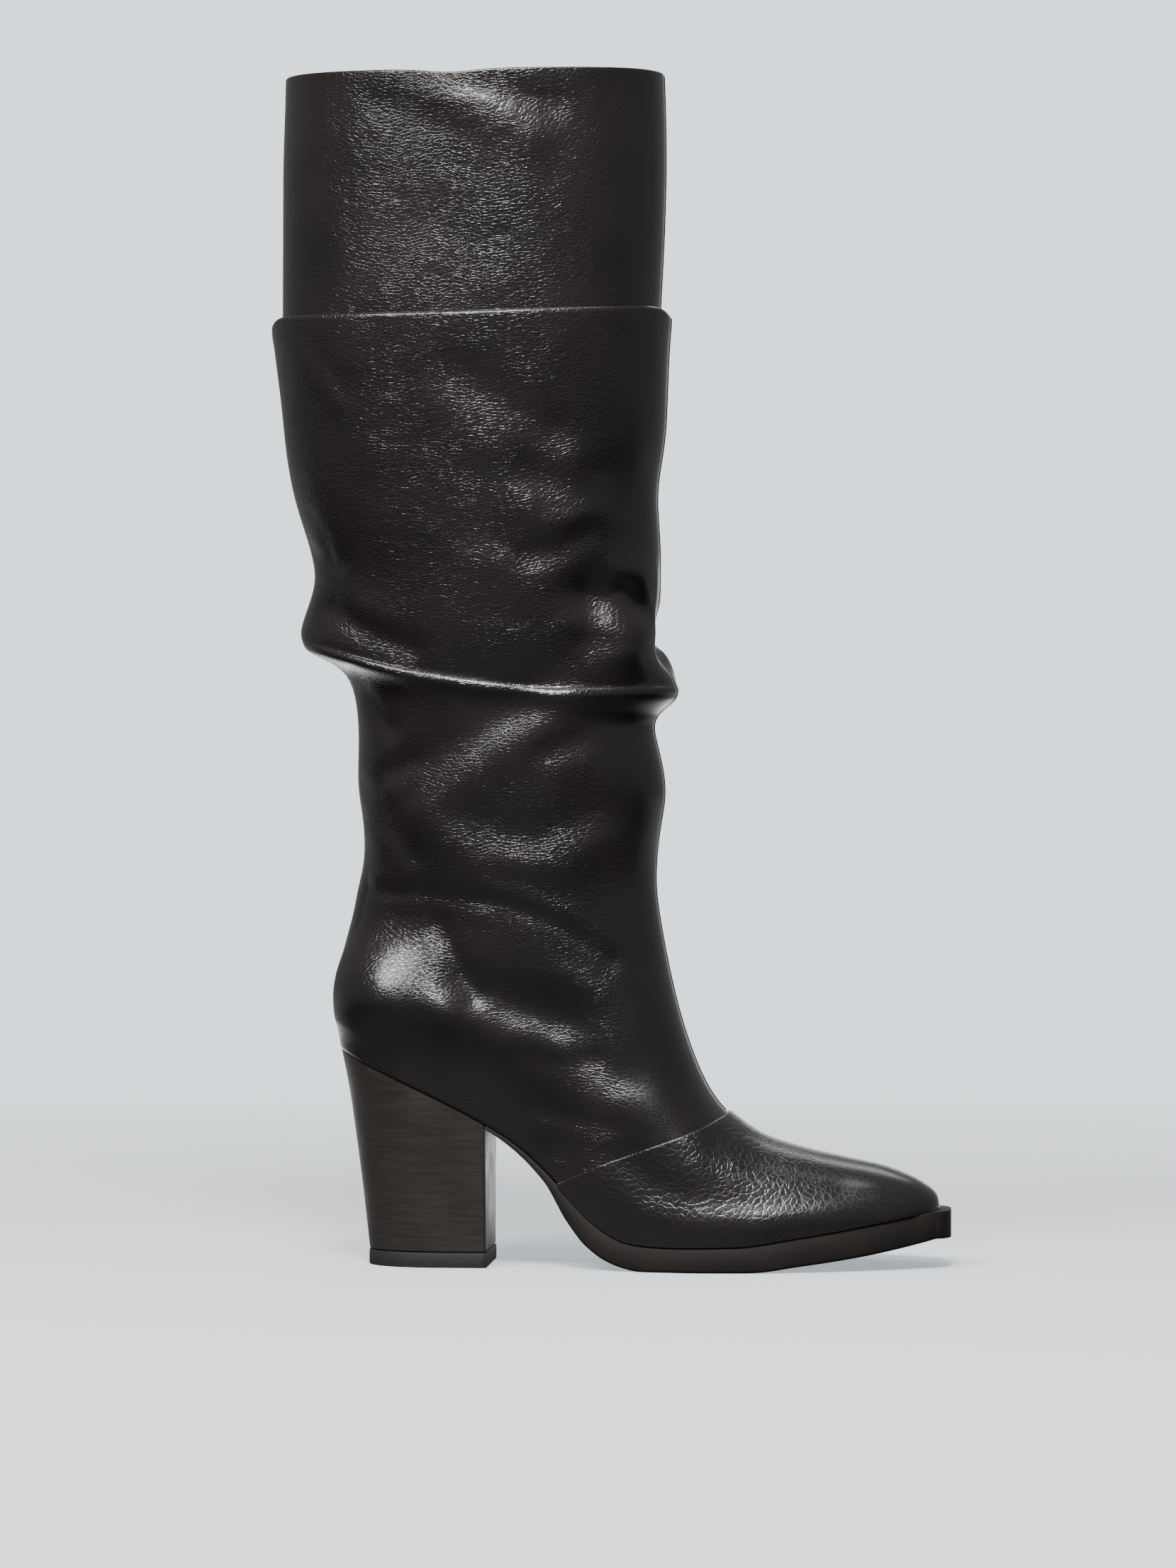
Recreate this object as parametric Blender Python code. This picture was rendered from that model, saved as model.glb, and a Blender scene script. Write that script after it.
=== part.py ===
"""A slouch boot for the right foot: leather upper in soft folds, vamp, insole, outsole, block heel and top piece.

Metres, +Z up, the toe points to +X and the inner side of the foot is +Y. The origin is the centre of the heel's
ground face. Every curved piece is worked out from one surface, the upper's, which runs from the feather line at the
sole up through the folds to the collar.
"""
import bmesh
import bpy
import numpy as np

# Last and sole
LAST_LENGTH = 0.2555
LAST_BACK_X = -0.038
BALL_WIDTH = 0.087
SEAT_HEIGHT = 0.0929
FOREFOOT_THICKNESS = 0.0108
WAIST_THICKNESS = 0.0019
TOE_SPRING = 0.0141
SOLE_MARGIN = 0.0012
TOE_MARGIN = 0.0065
HEEL_ROUND = 0.034
TOE_ROUND = 0.013

# Upper
INSTEP_HEIGHT = 0.065
ANKLE_HEIGHT = 0.161
COLLAR_HEIGHT = 0.512
SHAFT_X = 0.0195
SHAFT_DEPTH = 0.163
SHAFT_WIDTH = 0.104
WALL = 0.0016
FOLD_GAP = 0.0008
CUFF_TUCK = 0.012
VAMP_THICKNESS = 0.0012

# Heel, top piece and insole
BREAST_X = 0.0265
HEEL_BASE_BACK = -0.0255
HEEL_BASE_WIDTH = 0.050
TOP_PIECE_THICKNESS = 0.0065
INSOLE_THICKNESS = 0.0025
INSOLE_MARGIN = 0.0008

# Fit and fineness
CLEARANCE = 0.0003

# Places from the back to the front of the boot, as shares, where all its pieces have their edges.
STATIONS = (
    0, 0.007, 0.03, 0.07, 0.12, 0.18, 0.25, 0.295, 0.335, 0.37, 0.405, 0.44, 0.48,
    0.53, 0.585, 0.65, 0.715, 0.775, 0.83, 0.88, 0.925, 0.96, 0.983, 0.995, 1,
)

# Sole lines from the back of the last to its tip. Along is a share of LAST_LENGTH, drop of the seat's height above
# the forefoot, spring of TOE_SPRING, body runs from WAIST_THICKNESS at 0 to FOREFOOT_THICKNESS at 1, and lift is the
# share of the remaining height that the underside keeps: 0 where it lies flat on the ground.
SOLE_LINES = (
    # along, drop, spring, body, lift
    (0.00, 1.000, 0.00, 0.00, 1.00),
    (0.10, 0.855, 0.00, 0.00, 1.00),
    (0.20, 0.703, 0.00, 0.00, 1.00),
    (0.25, 0.618, 0.00, 0.00, 1.00),
    (0.30, 0.522, 0.00, 0.12, 1.00),
    (0.35, 0.385, 0.00, 0.35, 1.00),
    (0.39, 0.250, 0.00, 1.05, 1.00),
    (0.42, 0.155, 0.00, 1.25, 1.00),
    (0.455, 0.070, 0.00, 1.18, 1.00),
    (0.49, 0.020, 0.00, 1.00, 0.60),
    (0.52, 0.006, 0.00, 1.00, 0.00),
    (0.56, 0.000, 0.00, 1.00, 0.00),
    (0.67, 0.000, 0.035, 1.00, 0.00),
    (0.77, 0.000, 0.29, 1.00, 0.57),
    (0.89, 0.000, 0.64, 1.00, 0.75),
    (1.00, 0.000, 1.00, 1.00, 0.91),
)

# Half-widths of the feather line, as shares of BALL_WIDTH, before its two ends are rounded off.
OUTLINE = (
    # along, outer, inner
    (0.00, 0.345, 0.345),
    (0.14, 0.356, 0.356),
    (0.25, 0.335, 0.325),
    (0.35, 0.335, 0.290),
    (0.45, 0.400, 0.320),
    (0.55, 0.475, 0.400),
    (0.62, 0.505, 0.465),
    (0.70, 0.490, 0.490),
    (0.80, 0.430, 0.450),
    (0.90, 0.335, 0.360),
    (1.00, 0.200, 0.225),
)

# Rings of the foot, from the feather line up to the ankle. The front end of each lies on the toe, the vamp's ridge or
# the shin: front is its distance behind the last's tip as a share of LAST_LENGTH. rise_front is a share of
# INSTEP_HEIGHT up to the throat and runs on from 1 at the throat to 2 at the ankle. back is its distance behind the
# seat's back as a share of LAST_LENGTH, rise_back the share of the height from seat to ankle, bow how much of the sole
# line's bend it keeps, and leg how far it has turned from the foot's section into the leg's.
FOOT_RINGS = (
    # front, rise_front, back, rise_back, bow, leg
    (0.000, 0.000, 0.000, 0.000, 1.00, 0.00),
    (0.004, 0.120, 0.003, 0.075, 0.97, 0.00),
    (0.018, 0.205, 0.006, 0.150, 0.93, 0.00),
    (0.047, 0.310, 0.009, 0.215, 0.88, 0.00),
    (0.093, 0.415, 0.009, 0.280, 0.80, 0.02),
    (0.152, 0.495, 0.008, 0.340, 0.70, 0.05),
    (0.218, 0.590, 0.006, 0.405, 0.58, 0.10),
    (0.284, 0.720, 0.003, 0.470, 0.45, 0.18),
    (0.335, 0.925, 0.000, 0.545, 0.32, 0.28),
    (0.370, 1.060, -0.005, 0.620, 0.22, 0.40),
    (0.397, 1.200, -0.010, 0.690, 0.14, 0.52),
    (0.424, 1.400, -0.016, 0.770, 0.07, 0.66),
    (0.448, 1.660, -0.022, 0.860, 0.02, 0.82),
    (0.471, 2.000, -0.029, 1.000, 0.00, 1.00),
)

# Rings of the lower shaft, of the slouched middle and of the top. Heights are shares of the rise from ANKLE_HEIGHT to
# COLLAR_HEIGHT at the back, side and front. Back and front are shares of SHAFT_DEPTH from the shaft's axis, and outer
# and inner are shares of SHAFT_WIDTH.
LOWER_RINGS = (
    # high_back, high_side, high_front, back, front, outer, inner
    (0.043, 0.043, 0.043, 0.288, 0.482, 0.375, 0.375),
    (0.085, 0.080, 0.075, 0.293, 0.490, 0.383, 0.383),
    (0.130, 0.125, 0.118, 0.309, 0.506, 0.390, 0.390),
    (0.192, 0.180, 0.168, 0.304, 0.488, 0.395, 0.395),
    (0.266, 0.222, 0.207, 0.325, 0.466, 0.392, 0.392),
    (0.293, 0.246, 0.236, 0.445, 0.534, 0.426, 0.426),
)
MIDDLE_RINGS = (
    # high_back, high_side, high_front, back, front, outer, inner
    (0.299, 0.251, 0.242, 0.452, 0.536, 0.418, 0.418),
    (0.306, 0.241, 0.249, 0.458, 0.530, 0.372, 0.372),
    (0.316, 0.262, 0.260, 0.460, 0.523, 0.384, 0.384),
    (0.328, 0.289, 0.271, 0.454, 0.503, 0.399, 0.399),
    (0.350, 0.306, 0.285, 0.437, 0.475, 0.411, 0.411),
    (0.375, 0.328, 0.302, 0.417, 0.458, 0.420, 0.420),
    (0.410, 0.368, 0.350, 0.430, 0.490, 0.435, 0.435),
    (0.476, 0.430, 0.412, 0.475, 0.491, 0.455, 0.455),
    (0.530, 0.500, 0.480, 0.497, 0.482, 0.475, 0.475),
    (0.600, 0.580, 0.560, 0.513, 0.506, 0.497, 0.497),
    (0.650, 0.640, 0.640, 0.527, 0.512, 0.517, 0.517),
    (0.692, 0.690, 0.703, 0.537, 0.521, 0.533, 0.533),
)
TOP_RINGS = (
    # high_back, high_side, high_front, back, front, outer, inner
    (0.770, 0.770, 0.775, 0.507, 0.500, 0.490, 0.490),
    (0.880, 0.880, 0.885, 0.506, 0.506, 0.497, 0.497),
    (0.952, 0.948, 0.956, 0.501, 0.504, 0.500, 0.500),
    (0.989, 0.984, 0.993, 0.499, 0.501, 0.500, 0.500),
)

# Lapped edge of the vamp seen from the side, as shares of LAST_LENGTH along and of INSTEP_HEIGHT up.
VAMP_EDGE = (
    # along, high
    (0.376, 0.555),
    (0.432, 0.650),
    (0.510, 0.770),
    (0.568, 0.850),
    (0.620, 0.925),
    (0.657, 1.000),
)

# Plan of the heel between its ground face and the seat: share of the way up, and how far its back and its sides have
# come from the base's outline to the seat's.
HEEL_LEVELS = (
    # up, back, sides
    (0.00, 0.00, 0.00),
    (0.30, 0.23, 0.27),
    (0.60, 0.50, 0.58),
    (0.82, 0.73, 0.84),
    (1.00, 1.00, 1.00),
)


def smooth(table, column, at):
    """Monotone cubic through one column of a table, whose first column rises."""
    x = np.array([row[0] for row in table])
    y = np.array([row[column] for row in table])
    step = np.diff(x)
    slope = np.diff(y) / step
    tangent = np.zeros_like(y)
    tangent[0] = slope[0]
    tangent[-1] = slope[-1]
    turning = slope[:-1] * slope[1:] <= 0
    total = np.where(turning, 1.0, slope[:-1] + slope[1:])
    tangent[1:-1] = np.where(turning, 0.0, 2 * slope[:-1] * slope[1:] / total)
    at = np.clip(at, x[0], x[-1])
    i = np.clip(np.searchsorted(x, at, side="right") - 1, 0, len(step) - 1)
    t = (at - x[i]) / step[i]
    rest = 1 - t
    ends = y[i] * (1 + 2 * t) * rest**2 + y[i + 1] * (3 - 2 * t) * t**2
    return ends + step[i] * (tangent[i] * t * rest**2 - tangent[i + 1] * rest * t**2)


def along_last(x):
    """Share of the last's length at x."""
    return (x - LAST_BACK_X) / LAST_LENGTH


def feather_height(x):
    """Height of the feather line, where the upper meets the sole, straight from station to station."""
    drop = (SEAT_HEIGHT - FOREFOOT_THICKNESS) * smooth(SOLE_LINES, 1, STATIONS)
    height = FOREFOOT_THICKNESS + drop + TOE_SPRING * smooth(SOLE_LINES, 2, STATIONS)
    return np.interp(along_last(x), STATIONS, height)


def underside_height(x):
    """Height of the outsole's underside: the feather line less the thickness, and flat under the ball."""
    at = along_last(x)
    body = smooth(SOLE_LINES, 3, at)
    thickness = WAIST_THICKNESS + (FOREFOOT_THICKNESS - WAIST_THICKNESS) * body
    return smooth(SOLE_LINES, 4, at) * (feather_height(x) - thickness)


def round_end(distance, reach, power):
    """Share of the full width at a distance from a rounded end that reaches so far."""
    left = np.clip(1 - distance / reach, 0, 1)
    return (1 - left**power) ** (1 / power)


def feather_width(x, side, tip=0.0):
    """Half-width of the feather line ahead of the seat's round, whose squared toe ends at the last's tip plus tip."""
    width = BALL_WIDTH * smooth(OUTLINE, side, along_last(x))
    toe = LAST_BACK_X + LAST_LENGTH + tip - x
    return width * round_end(toe, TOE_ROUND, 2.6)


def foot_ends():
    """Front and back end of each foot ring, its bow and its turn into the leg."""
    rows = np.array(FOOT_RINGS)
    tip_x = LAST_BACK_X + LAST_LENGTH
    tip_z = feather_height(tip_x)
    front_x = tip_x - LAST_LENGTH * rows[:, 0]
    low = tip_z + (INSTEP_HEIGHT - tip_z) * rows[:, 1]
    high = INSTEP_HEIGHT + (ANKLE_HEIGHT - INSTEP_HEIGHT) * (rows[:, 1] - 1)
    front_z = np.where(rows[:, 1] < 1, low, high)
    back_x = LAST_BACK_X - LAST_LENGTH * rows[:, 2]
    back_z = SEAT_HEIGHT + (ANKLE_HEIGHT - SEAT_HEIGHT) * rows[:, 3]
    return front_x, front_z, back_x, back_z, rows[:, 4], rows[:, 5]


def shaft_ring(row):
    """Sizes of one shaft ring in metres: heights at the back, side and front, ends, and the two half-widths."""
    rise = COLLAR_HEIGHT - ANKLE_HEIGHT
    heights = [ANKLE_HEIGHT + rise * share for share in row[:3]]
    ends = [SHAFT_X - SHAFT_DEPTH * row[3], SHAFT_X + SHAFT_DEPTH * row[4]]
    return np.array(heights + ends + [SHAFT_WIDTH * row[5], SHAFT_WIDTH * row[6]])


def inset(ring, by, raised):
    """A shaft ring drawn inwards by one distance and raised by another at the back, side and front."""
    moved = ring.copy()
    moved[:3] += raised
    moved[3] += by
    moved[4] -= by
    moved[5:] -= by
    return moved


def fold(below, lip):
    """Rings of the lapped cuff: over the lip, down inside, round and up again, a leather's thickness apart."""
    over = WALL + FOLD_GAP / 2
    under = FOLD_GAP / 2
    share = np.mean(CUFF_TUCK / (lip[:3] - below[:3]))
    deep = lip + share * (below - lip)
    deep[:3] = lip[:3] - CUFF_TUCK
    rings = []
    for turn in (60, 120, 180):
        angle = np.radians(turn)
        rings.append(inset(lip, over * (1 - np.cos(angle)), over * np.sin(angle)))
    for turn in (0, 90, 180):
        angle = np.radians(turn)
        rings.append(inset(deep, 2 * over + under * (1 - np.cos(angle)), -under * np.sin(angle)))
    rings.append(inset(lip, 2 * over + 2 * under, over + FOLD_GAP))
    return rings


def shaft_rings():
    """All rings above the ankle, with the lapped cuff in its place."""
    lower = [shaft_ring(row) for row in LOWER_RINGS]
    middle = [shaft_ring(row) for row in MIDDLE_RINGS]
    top = [shaft_ring(row) for row in TOP_RINGS]
    return np.array(lower + middle + fold(middle[-2], middle[-1]) + top)


def upper_surface():
    """Points of the upper's outer face, one row for each ring and one column for each place around it.

    A column's share of the way from back to front is the same in every ring. In the foot the half-width is that of
    the feather line, arched over to the vamp's ridge. In the leg it is an oval.
    """
    share = np.array(STATIONS + STATIONS[-2:0:-1])
    outer = np.arange(len(share)) < len(STATIONS)
    front_x, front_z, back_x, back_z, bow, leg = (a[:, None] for a in foot_ends())
    x = back_x + share * (front_x - back_x)
    start = feather_height(back_x)
    line = start + share * (feather_height(front_x) - start)
    z = back_z + share * (front_z - back_z) + bow * (feather_height(x) - line)
    ridge = np.column_stack([front_x[::-1, 0], front_z[::-1, 0]])
    ridge_z = np.where(x < ridge[0, 0], ridge[0, 1] + 10 * (ridge[0, 0] - x), smooth(ridge, 1, x))
    floor = feather_height(x)
    up = np.clip((z - floor) / np.maximum(ridge_z - floor, 1e-6), 0, 1)
    arch = (1 - up**2.3) ** (1 / 2.3)
    width = np.where(outer, feather_width(x, 1), feather_width(x, 2))
    foot_y = width * arch * round_end(x - back_x, HEEL_ROUND, 2.2)
    oval = (1 - np.abs(2 * share - 1) ** 2.15) ** (1 / 2.15)
    ankle = SHAFT_WIDTH * np.where(outer, LOWER_RINGS[0][5], LOWER_RINGS[0][6])
    y = foot_y + leg * (ankle * oval - foot_y)
    foot = np.stack([x, np.where(outer, -y, y), z], axis=-1)

    rings = shaft_rings()
    high_back, high_side, high_front, back, front, wide_out, wide_in = (a[:, None] for a in rings.T)
    x = back + share * (front - back)
    side = 4 * share * (1 - share)
    z = high_back + share * (high_front - high_back)
    z = z + side * (high_side - (high_back + high_front) / 2)
    y = np.where(outer, -wide_out, wide_in) * oval
    return np.concatenate([foot, np.stack([x, y, z], axis=-1)])


def outward(points):
    """Unit normals of a grid of rings, pointing out of the boot."""
    around = np.roll(points, -1, axis=1) - np.roll(points, 1, axis=1)
    steps = np.diff(points, axis=0)
    steps /= np.linalg.norm(steps, axis=2, keepdims=True)
    up = np.concatenate([steps[:1], steps[:-1] + steps[1:], steps[-1:]])
    normal = np.cross(around, up)
    return normal / np.linalg.norm(normal, axis=2, keepdims=True)


def material(name, colour, roughness, metallic=0.0):
    """A plain material with the piece's colour."""
    made = bpy.data.materials.new(name)
    made.use_nodes = True
    shader = made.node_tree.nodes["Principled BSDF"]
    shader.inputs["Base Color"].default_value = (*colour, 1.0)
    shader.inputs["Roughness"].default_value = roughness
    shader.inputs["Metallic"].default_value = metallic
    return made


def add_piece(name, points, faces, finish):
    """One named object from points and faces, with doubles merged and its faces turned outwards."""
    mesh = bpy.data.meshes.new(name)
    mesh.from_pydata(points, [], faces)
    body = bmesh.new()
    body.from_mesh(mesh)
    bmesh.ops.remove_doubles(body, verts=body.verts, dist=1e-6)
    bmesh.ops.dissolve_degenerate(body, edges=body.edges, dist=1e-6)
    bmesh.ops.triangulate(body, faces=body.faces)
    bmesh.ops.recalc_face_normals(body, faces=body.faces)
    body.to_mesh(mesh)
    body.free()
    mesh.shade_smooth()
    mesh.set_sharp_from_angle(angle=np.radians(40))
    mesh.materials.append(finish)
    piece = bpy.data.objects.new(name, mesh)
    bpy.context.collection.objects.link(piece)
    return piece


def grid_faces(rows, columns, closed, first=0):
    """Quads of a grid of points that are numbered row by row."""
    last = columns if closed else columns - 1
    faces = []
    for r in range(rows - 1):
        for c in range(last):
            d = (c + 1) % columns
            a = first + r * columns
            faces.append((a + c, a + d, a + columns + d, a + columns + c))
    return faces


def shell(name, outside, inside, closed, finish):
    """A wall between two grids of points, closed along all its edges."""
    rows, columns = outside.shape[:2]
    count = rows * columns
    faces = grid_faces(rows, columns, closed) + grid_faces(rows, columns, closed, count)
    last = columns if closed else columns - 1
    for r in (0, rows - 1):
        for c in range(last):
            a = r * columns + c
            b = r * columns + (c + 1) % columns
            faces.append((a, b, count + b, count + a))
    if not closed:
        for c in (0, columns - 1):
            for r in range(rows - 1):
                a = r * columns + c
                faces.append((a, a + columns, count + a + columns, count + a))
    points = np.concatenate([outside.reshape(-1, 3), inside.reshape(-1, 3)])
    return add_piece(name, points, faces, finish)


def stack(name, levels, finish):
    """A solid from level outlines, each an array of outer and inner edge points at the same stations along X."""
    stations = levels[0].shape[1]
    loops = [np.concatenate([level[0], level[1][::-1]]) for level in levels]
    faces = grid_faces(len(loops), 2 * stations, True)
    for r in (0, len(loops) - 1):
        first = r * 2 * stations
        for s in range(stations - 1):
            far = first + 2 * stations - 1 - s
            faces.append((first + s, first + s + 1, far - 1, far))
    return add_piece(name, np.concatenate(loops), faces, finish)


def stations(start, end, ends):
    """Places along X for a piece of the sole, with finer ones at the rounded ends named by ends."""
    shared = LAST_BACK_X + LAST_LENGTH * np.array(STATIONS)
    near = TOE_ROUND * np.array([0.05, 0.18, 0.4, 0.7])
    rounds = [start + near] * ("back" in ends) + [end - near] * ("toe" in ends)
    low = start + near[-1] * 1.2 if "back" in ends else start + near[1]
    high = end - near[-1] * 1.2 if "toe" in ends else end - near[1]
    inner = shared[(shared > low) & (shared < high)]
    return np.sort(np.concatenate([[start, end], inner, *rounds]))


def edges(x, outer, inner, z):
    """Outer and inner edge points of a level outline."""
    z = np.broadcast_to(z, x.shape)
    return np.stack([np.stack([x, -outer, z], axis=-1), np.stack([x, inner, z], axis=-1)])


def make_upper(outside, normals):
    """The hollow upper, whose lower edge follows the feather line inside too."""
    inside = outside - WALL * normals
    inside[0, :, 2] = feather_height(inside[0, :, 0])
    leather = material("upper_leather", (0.012, 0.011, 0.011), 0.38)
    return shell("upper", outside, inside, True, leather)


def make_vamp(outside, normals):
    """The lapped vamp: a skin on the upper's own face, ahead of and below its edge."""
    tip = outside[0, :, 0]
    start = LAST_BACK_X + LAST_LENGTH * VAMP_EDGE[0][0]
    front = np.flatnonzero(tip > start)
    places = [front[0] - 1 + (start - tip[front[0] - 1]) / (tip[front[0]] - tip[front[0] - 1])]
    places += list(front)
    places.append(front[-1] + (start - tip[front[-1]]) / (tip[front[-1] + 1] - tip[front[-1]]))
    rows = int(np.searchsorted([row[1] for row in FOOT_RINGS], 1.0)) + 2
    low = np.zeros((rows, len(places), 3))
    high = np.zeros_like(low)
    for number, place in enumerate(places):
        c = int(place)
        part = place - c
        line = outside[:rows, c] * (1 - part) + outside[:rows, c + 1] * part
        turned = normals[:rows, c] * (1 - part) + normals[:rows, c + 1] * part
        edge_z = INSTEP_HEIGHT * smooth(VAMP_EDGE, 1, along_last(line[:, 0]))
        ahead = along_last(line[:, 0]) - VAMP_EDGE[-1][0]
        over = line[:, 2] - edge_z - np.clip(ahead, 0, None) * LAST_LENGTH
        at = 0.0
        if number not in (0, len(places) - 1):
            k = int(np.argmax(over > 0))
            at = k - over[k] / (over[k] - over[k - 1])
        rung = np.minimum(np.arange(rows), at)
        i = np.minimum(rung.astype(int), rows - 2)
        t = (rung - i)[:, None]
        point = line[i] * (1 - t) + line[i + 1] * t
        normal = turned[i] * (1 - t) + turned[i + 1] * t
        normal /= np.linalg.norm(normal, axis=1, keepdims=True)
        low[:, number] = point + CLEARANCE * normal
        high[:, number] = point + (CLEARANCE + VAMP_THICKNESS) * normal
    for skin in (low, high):
        skin[0, :, 2] = feather_height(skin[0, :, 0])
    leather = material("vamp_leather", (0.013, 0.012, 0.012), 0.34)
    return shell("vamp", high, low, False, leather)


def make_outsole():
    """The outsole from the heel breast to the squared toe, proud of the upper around the forefoot."""
    start = BREAST_X + CLEARANCE
    end = LAST_BACK_X + LAST_LENGTH + TOE_MARGIN
    x = stations(start, end, ("toe",))
    thick = smooth(SOLE_LINES, 3, along_last(x))
    proud = SOLE_MARGIN * np.clip(thick, 0, 1)
    width = [feather_width(x, side, TOE_MARGIN) + proud for side in (1, 2)]
    top = feather_height(x) - CLEARANCE
    low = underside_height(x)
    bevel = 0.12 * (top - low)
    whole = edges(x, width[0], width[1], top)
    foot = edges(x, width[0], width[1], low + bevel)
    under = edges(x, width[0] - bevel, width[1] - bevel, low)
    rubber = material("outsole_rubber", (0.016, 0.014, 0.013), 0.6)
    return stack("outsole", [under, foot, whole], rubber)


def make_insole():
    """The insole inside the upper's wall, on the outsole and the heel's seat."""
    edge = WALL + INSOLE_MARGIN
    start = LAST_BACK_X + edge
    end = LAST_BACK_X + LAST_LENGTH - edge
    x = stations(start, end, ("back", "toe"))
    width = []
    for side in (1, 2):
        full = feather_width(x, side, -edge) - edge
        width.append(np.clip(full, 0, None) * round_end(x - start, HEEL_ROUND, 2.2))
    low = edges(x, width[0], width[1], feather_height(x))
    high = edges(x, width[0], width[1], feather_height(x) + INSOLE_THICKNESS)
    lining = material("insole_leather", (0.30, 0.22, 0.15), 0.7)
    return stack("insole", [low, high], lining)


def heel_level(up, back_share, side_share, floor):
    """Outline of the heel at one share of its height, from the ground face's outline to the seat's."""
    back = HEEL_BASE_BACK + back_share * (LAST_BACK_X + CLEARANCE - HEEL_BASE_BACK)
    top_x = stations(LAST_BACK_X + CLEARANCE, BREAST_X, ("back",))
    x = back + (top_x - top_x[0]) * (BREAST_X - back) / (BREAST_X - top_x[0])
    ends = round_end(x - back, HEEL_ROUND, 2.2)
    base = HEEL_BASE_WIDTH / 2
    width = [base + side_share * (feather_width(x, side) - CLEARANCE - base) for side in (1, 2)]
    top = feather_height(x) - CLEARANCE
    return edges(x, width[0] * ends, width[1] * ends, floor + up * (top - floor))


def make_heel():
    """The block heel between the top piece and the seat."""
    floor = TOP_PIECE_THICKNESS + CLEARANCE
    levels = [heel_level(*row, floor) for row in HEEL_LEVELS]
    block = material("heel_block", (0.015, 0.014, 0.013), 0.55)
    return stack("heel", levels, block)


def make_top_piece():
    """The flat wearing piece under the heel."""
    low = heel_level(0, 0, 0, 0)
    high = low + np.array([0, 0, TOP_PIECE_THICKNESS])
    rubber = material("top_piece_rubber", (0.012, 0.012, 0.012), 0.7)
    return stack("top_piece", [low, high], rubber)


for old in list(bpy.data.objects):
    bpy.data.objects.remove(old)
surface = upper_surface()
facing = outward(surface)
make_upper(surface, facing)
make_vamp(surface, facing)
make_outsole()
make_insole()
make_heel()
make_top_piece()
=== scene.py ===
"""Looks of the slouch boot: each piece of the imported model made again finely, with leather, folds and edges.

Metres, +Z up, the toe points to +X and the outer side of the foot, which the photograph shows, is -Y.
"""

import bmesh
import bpy
import numpy as np
from mathutils import Matrix, Vector


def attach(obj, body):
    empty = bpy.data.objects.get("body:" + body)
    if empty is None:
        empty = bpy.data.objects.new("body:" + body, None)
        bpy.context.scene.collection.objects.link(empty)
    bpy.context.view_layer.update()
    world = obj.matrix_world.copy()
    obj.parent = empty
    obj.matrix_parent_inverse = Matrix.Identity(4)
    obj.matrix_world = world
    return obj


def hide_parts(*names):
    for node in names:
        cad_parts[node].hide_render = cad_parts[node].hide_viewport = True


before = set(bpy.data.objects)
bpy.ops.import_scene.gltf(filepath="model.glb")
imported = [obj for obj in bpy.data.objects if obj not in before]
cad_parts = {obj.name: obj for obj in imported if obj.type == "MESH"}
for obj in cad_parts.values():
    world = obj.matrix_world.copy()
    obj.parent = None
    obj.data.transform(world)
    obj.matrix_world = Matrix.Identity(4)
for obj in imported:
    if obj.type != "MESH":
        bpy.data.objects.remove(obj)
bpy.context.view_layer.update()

# Studio: a pale seamless floor, a key light above the camera, a fill high at the left, and weaker lights
# overhead and behind for the rims of the folds. The room is pale behind the boot and dimmer around the camera,
# and the floor is pale in a strip behind the boot, which is what the black leather mirrors.
FLOOR_RADIUS = 3.2
PALE = (1.60, 1.76, 1.88)
CAMERA_TURN = 4.0
CAMERA_ASIDE = 0.0682
CAMERA_AWAY = 2.35
CAMERA_HEIGHT = 0.206
CAMERA_LENS = 125.4


def nodes_of(tree):
    """Empties a node tree and returns its nodes and links."""
    tree.nodes.clear()
    return tree.nodes, tree.links


def soft_light(name, place, towards, size, power, colour):
    """One rectangular area light turned towards a point."""
    lamp = bpy.data.lights.new(name, "AREA")
    lamp.shape = "RECTANGLE"
    lamp.size, lamp.size_y = size
    lamp.energy = power
    lamp.color = colour
    holder = bpy.data.objects.new(name, lamp)
    bpy.context.collection.objects.link(holder)
    aim = (Vector(towards) - Vector(place)).to_track_quat("-Z", "Y")
    holder.matrix_world = Matrix.Translation(place) @ aim.to_matrix().to_4x4()


azimuth = np.radians(CAMERA_TURN)
right = np.array([np.cos(azimuth), np.sin(azimuth), 0.0])
back = np.array([np.sin(azimuth), -np.cos(azimuth), 0.0])
eye = right * CAMERA_ASIDE + back * CAMERA_AWAY + np.array([0.0, 0.0, CAMERA_HEIGHT])
lens = bpy.data.cameras.new("camera")
lens.sensor_width = 36.0
lens.lens = CAMERA_LENS
lens.clip_end = 50.0
camera = bpy.data.objects.new("camera", lens)
bpy.context.collection.objects.link(camera)
camera.matrix_world = Matrix.Translation(eye) @ Vector(-back).to_track_quat("-Z", "Y").to_matrix().to_4x4()
bpy.context.scene.camera = camera

soft_light("key", (0.12, -1.50, 1.90), (0.03, 0.0, 0.25), (0.70, 0.70), 98.0, (1.0, 0.985, 0.965))
soft_light("fill", (-0.92, -1.36, 1.80), (0.0, 0.0, 0.25), (0.7, 0.7), 48.0, (1.0, 0.99, 0.98))
soft_light("overhead", (0.15, 0.10, 1.9), (0.05, 0.0, 0.2), (1.2, 0.7), 11.0, (0.95, 0.98, 1.0))
soft_light("behind", (0.25, 1.7, 1.5), (0.08, 0.0, 0.2), (1.2, 0.5), 5.0, (0.92, 0.97, 1.0))

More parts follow.
